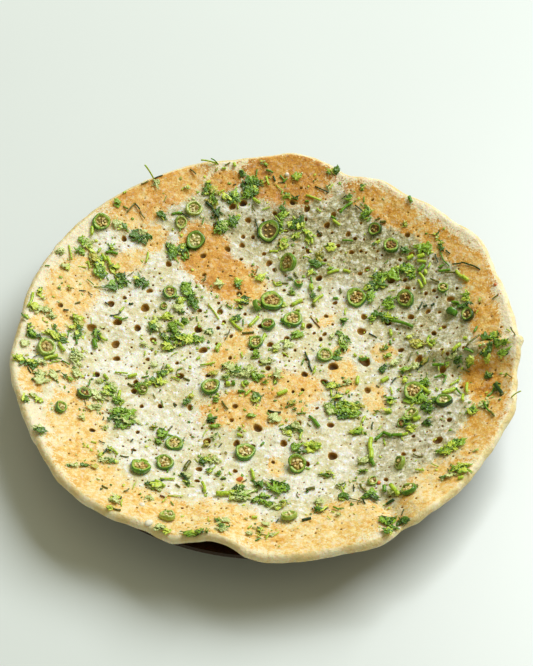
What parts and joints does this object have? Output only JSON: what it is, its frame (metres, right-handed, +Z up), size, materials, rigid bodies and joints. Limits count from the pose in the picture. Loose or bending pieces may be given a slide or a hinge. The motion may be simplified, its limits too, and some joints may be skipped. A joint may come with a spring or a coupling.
{
  "type": "uttapam on a plate",
  "caption": "Round dished savoury pancake with chilli slices and coriander leaves, lying in a dark coupe plate that it covers.",
  "frame": {"origin": "middle of the plate's foot, on the surface that the plate stands on, under the middle of the pancake", "axes": "+Z up, +Y to the back of the picture's view, +X to the right of it"},
  "size_m": [0.1896, 0.1895, 0.0329],
  "materials": {
    "plate_glaze": "very dark brown glaze, glossy",
    "batter": "soft cooked batter, cream with golden brown patches, matt",
    "chilli": "moist cut green chilli, slightly glossy",
    "coriander": "dark green leaf, satin"
  },
  "bodies": {
    "root": {"plate": "plate_glaze", "uttapam": "batter", "chilli_01": "chilli", "chilli_02": "chilli", "chilli_03": "chilli", "chilli_04": "chilli", "chilli_05": "chilli", "chilli_06": "chilli", "chilli_07": "chilli", "chilli_08": "chilli", "chilli_09": "chilli", "chilli_10": "chilli", "chilli_11": "chilli", "chilli_12": "chilli", "chilli_13": "chilli", "chilli_14": "chilli", "chilli_15": "chilli", "chilli_16": "chilli", "chilli_17": "chilli", "chilli_18": "chilli", "chilli_19": "chilli", "chilli_20": "chilli", "chilli_21": "chilli", "chilli_22": "chilli", "chilli_23": "chilli", "chilli_24": "chilli", "chilli_25": "chilli", "chilli_26": "chilli", "chilli_27": "chilli", "chilli_28": "chilli", "chilli_29": "chilli", "chilli_30": "chilli", "chilli_31": "chilli", "chilli_32": "chilli", "chilli_33": "chilli", "leaf_01": "coriander", "leaf_02": "coriander", "leaf_03": "coriander", "leaf_04": "coriander", "leaf_05": "coriander", "leaf_06": "coriander", "leaf_07": "coriander", "leaf_08": "coriander", "leaf_09": "coriander", "leaf_10": "coriander", "leaf_11": "coriander", "leaf_12": "coriander", "leaf_13": "coriander", "leaf_14": "coriander", "leaf_15": "coriander", "leaf_16": "coriander", "leaf_17": "coriander", "leaf_18": "coriander", "leaf_19": "coriander", "leaf_20": "coriander", "leaf_21": "coriander", "leaf_22": "coriander", "leaf_23": "coriander", "leaf_24": "coriander"}
  },
  "joints": []
}
